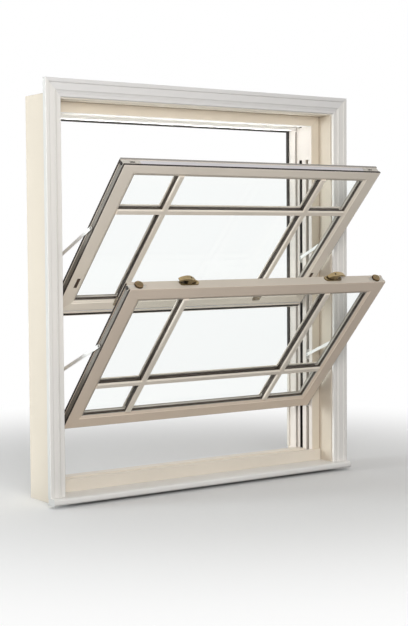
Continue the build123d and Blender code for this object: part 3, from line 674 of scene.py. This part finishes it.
def screws(name, body, places, radius, material):
    """Round heads at each place and normal, each with a black raised cross that stands for its
    recess: painted shade.
    """
    def heads(bm):
        for centre, normal in places:
            dome(bm, centre, normal, [(radius * share, height) for share, height in SCREW])

    # each recess is a black bead standing on the head, not a hollow: painted shade
    def crosses(bm):
        for centre, normal in places:
            a = normal.orthogonal().normalized()
            b = normal.cross(a)
            middle = centre + normal * RECESS_LEVEL * MM
            for along, across in ((a, b), (b, a)):
                reach = along * radius * RECESS_REACH * MM
                bead(bm, middle - reach, middle + reach, across, normal,
                     radius * RECESS_WIDTH, RECESS_HEIGHT)

    grow(name + "_heads", material, body, heads)
    grow(name + "_recesses", painted_recess_shade, body, crosses)


def pairs(sash, apart, out, up, normal):
    """Two places beside the middle of the fitting on each half of the sash."""
    return [(sash.at(s * FASTENER_X + k * apart, out, up), normal)
            for s in (-1, 1) for k in (-1, 1)]


for sash in SASHES:
    top_rail, bottom_rail = RAILS[sash.name]
    right = sash.inward(STILE)
    low_up, high_up = SASH_FOOT + bottom_rail, SASH_TOP - top_rail

    def gaskets(bm):
        """Strips round each face of the pane, their edges just under the members."""
        half = 1.2
        for face in (-1, 1):
            lift, w = sash.out * face, face * PANE_FACE
            for u in (-right + half, right - half):
                bead(bm, sash.at(u, w, low_up), sash.at(u, w, high_up), sash.across, lift,
                     *GASKET)
            for v in (low_up + half, high_up - half):
                bead(bm, sash.at(-right, w, v), sash.at(right, w, v), sash.up, lift, *GASKET)

    grow(sash.name + "_glazing_gaskets", gasket_grey, sash.name + "_sash", gaskets)
    screws(sash.name + "_latch_screws", sash.name + "_sash",
           [(sash.at(s * sash.inward(LATCH_SCREW_IN), 0, SASH_TOP - 1.5), sash.up)
            for s in (-1, 1)], 2.4, steel)

screws("fastener_screws", "lower_sash",
       pairs(LOWER, apart=32, out=6.5, up=FASTENER_TOP, normal=LOWER.up), 3.2, gold)
screws("keeper_screws", "upper_sash",
       pairs(UPPER, apart=11, out=-20.5, up=18, normal=-UPPER.out), 2.8, gold)

for name in ("lower", "upper"):
    def rivets(bm):
        """One in the eye of each arm, on the side that faces the sash."""
        for s in (-1, 1):
            dome(bm, Vector((s * ARM_FACE_X, CHANNEL_Y[name], ARM_FOOT_Z[name])),
                 Vector((-s, 0, 0)), RIVET)

    grow(name + "_arm_rivets", steel, name + "_arms", rivets)

for s, end in ((-1, "left"), (1, "right")):
    middle = s * LOWER.inward(KNOB_IN)

    def knurls(bm):
        """Short ribs up the rim of a knob."""
        count = 30
        for k in range(count):
            turn = 2 * math.pi * k / count
            away = LOWER.across * math.cos(turn) + LOWER.out * math.sin(turn)
            along = LOWER.across * -math.sin(turn) + LOWER.out * math.cos(turn)
            foot = LOWER.at(middle, 0, SASH_TOP) + away * KNOB_RIM * MM
            bead(bm, foot + LOWER.up * KNURL_FOOT * MM, foot + LOWER.up * KNURL_TOP * MM,
                 along, away, *KNURL)

    def grips(bm):
        """Ribs across the top of a knob, for the thumb."""
        level, radius = SASH_TOP + KNOB_TOP, 12.0
        for w in (-7.5, -2.5, 2.5, 7.5):
            half = math.sqrt(radius ** 2 - w ** 2)
            bead(bm, LOWER.at(middle - half, w, level), LOWER.at(middle + half, w, level),
                 LOWER.out, LOWER.up, *GRIP)

    grow(f"knob_knurls_{end}", gold, "lower_latch_" + end, knurls)
    grow(f"knob_grips_{end}", gold, "lower_latch_" + end, grips)


def joint_sealant(bm):
    """A thin bead in the corner where the linings meet the frame."""
    x, y, foot, head = 0.613, -0.070, 0.079, 1.425
    out = Vector((0, 1, 0))
    bead(bm, Vector((-x, y, head)), Vector((x, y, head)), out, Vector((0, 0, -1)), 4.5, 2.2)
    for s in (-1, 1):
        bead(bm, Vector((s * x, y, foot)), Vector((s * x, y, head)), out,
             Vector((-s, 0, 0)), 4.0, 1.6)


grow("joint_sealant", sealant, "frame", joint_sealant)


# camera, light and floor
YAW, PITCH, ROLL = math.radians(35.16), math.radians(-3.07), math.radians(-0.40)
EYE = (-2.9192, -4.2712, 0.9289)
FOCAL, PICTURE_HEIGHT = 1347.13, 626  # pixels
SENSOR = 36.0

sight = Vector((math.sin(YAW) * math.cos(PITCH), math.cos(YAW) * math.cos(PITCH),
                math.sin(PITCH)))
level_x = Vector((math.cos(YAW), -math.sin(YAW), 0))
level_y = level_x.cross(sight)
side = level_x * math.cos(ROLL) + level_y * math.sin(ROLL)
top = level_y * math.cos(ROLL) - level_x * math.sin(ROLL)

camera = placed("camera", bpy.data.cameras.new("camera"))
camera.data.sensor_width = SENSOR
camera.data.lens = FOCAL * SENSOR / PICTURE_HEIGHT
camera.matrix_world = Matrix.Translation(EYE) @ Matrix(
    (side, top, -sight)).transposed().to_4x4()
bpy.context.scene.camera = camera


def lamp(name, place, aim, size, watts, tint=(1, 1, 1)):
    """An area lamp that only lights: neither camera nor reflections nor panes show it."""
    data = bpy.data.lights.new(name, "AREA")
    data.shape = "DISK"
    data.size = size
    data.energy = watts
    data.color = tint
    light = placed(name, data)
    light.location = place
    light.rotation_mode = "QUATERNION"
    light.rotation_quaternion = (Vector(aim) - Vector(place)).to_track_quat("-Z", "Y")
    light.visible_camera = light.visible_transmission = light.visible_glossy = False
    return data


lamp("daylight", place=(-4.2, 1.5, 0.75), aim=(0.5, 0, 1.0), size=1.4, watts=122,
     tint=(0.88, 0.96, 1.0))
lamp("room_fill", place=(-2.2, -4.4, 2.1), aim=(0, 0, 0.8), size=3.0, watts=158)
# a narrow strip that stands for bright ground outdoors and lights the head from below
ground = lamp("ground_light", place=(0, 0.25, 0.02), aim=(0, 0.06, 1.38), size=1.1,
              watts=1.5, tint=(0.95, 0.98, 1.0))
ground.shape = "RECTANGLE"
ground.size_y = 0.08
ground.spread = math.radians(14)


def background():
    """Soft light that is stronger from outdoors, behind a plain white.

    The camera, reflections and panes show the white, and the surfaces get the soft light."""
    world = bpy.data.worlds.new("studio")
    bpy.context.scene.world = world
    world.use_nodes = True
    tree = Tree(world.node_tree)
    tree.nodes.clear()
    direction = tree.add("TexCoord").outputs["Generated"]
    level = tree.smooth(tree.split(direction)[Y], start=-0.9, end=0.9, low=0.2, high=0.75)
    lights = []
    for colour, strength in (((1, 0.99, 0.975, 1), level), ((1, 1, 1, 1), 1)):
        light = tree.add("Background")
        tree.put(colour, light.inputs["Color"])
        tree.put(strength, light.inputs["Strength"])
        lights.append(light.outputs["Background"])
    shown = tree.either(tree.ray("Camera", "Glossy", "Transmission"), *lights)
    tree.put(shown, tree.add("OutputWorld").inputs["Surface"])


background()


def floor():
    """A pale round floor that fades to the white background away from the object."""
    mesh = bpy.data.meshes.new("floor")
    bm = bmesh.new()
    bmesh.ops.create_circle(bm, cap_ends=True, segments=96, radius=9.0)
    bm.to_mesh(mesh)
    bm.free()
    disc = placed("floor", mesh)
    disc.location = (0, 0, -0.0005)
    m = Shader("floor_paper", Roughness=0.9)
    bounce = m.mix(m.beyond((0, 1, 0), 0.1), (0.3, 0.3, 0.3, 1), (0.9, 0.9, 0.88, 1))
    m.colour(m.mix(m.ray("Camera"), bounce, (0.84, 0.84, 0.835, 1)))
    length = m.add("VectorMath", operation="LENGTH")
    m.put(m.coords, length.inputs[0])
    fade = m.smooth(length.outputs["Value"], start=0.8, end=2.6)
    white = m.all_of(fade, m.ray("Camera", "Transmission"))
    glow = m.add("Emission").outputs["Emission"]
    m.surface(m.either(white, m.bsdf.outputs["BSDF"], glow))
    mesh.materials.append(m.material)


floor()
bpy.context.scene.view_settings.view_transform = "Standard"
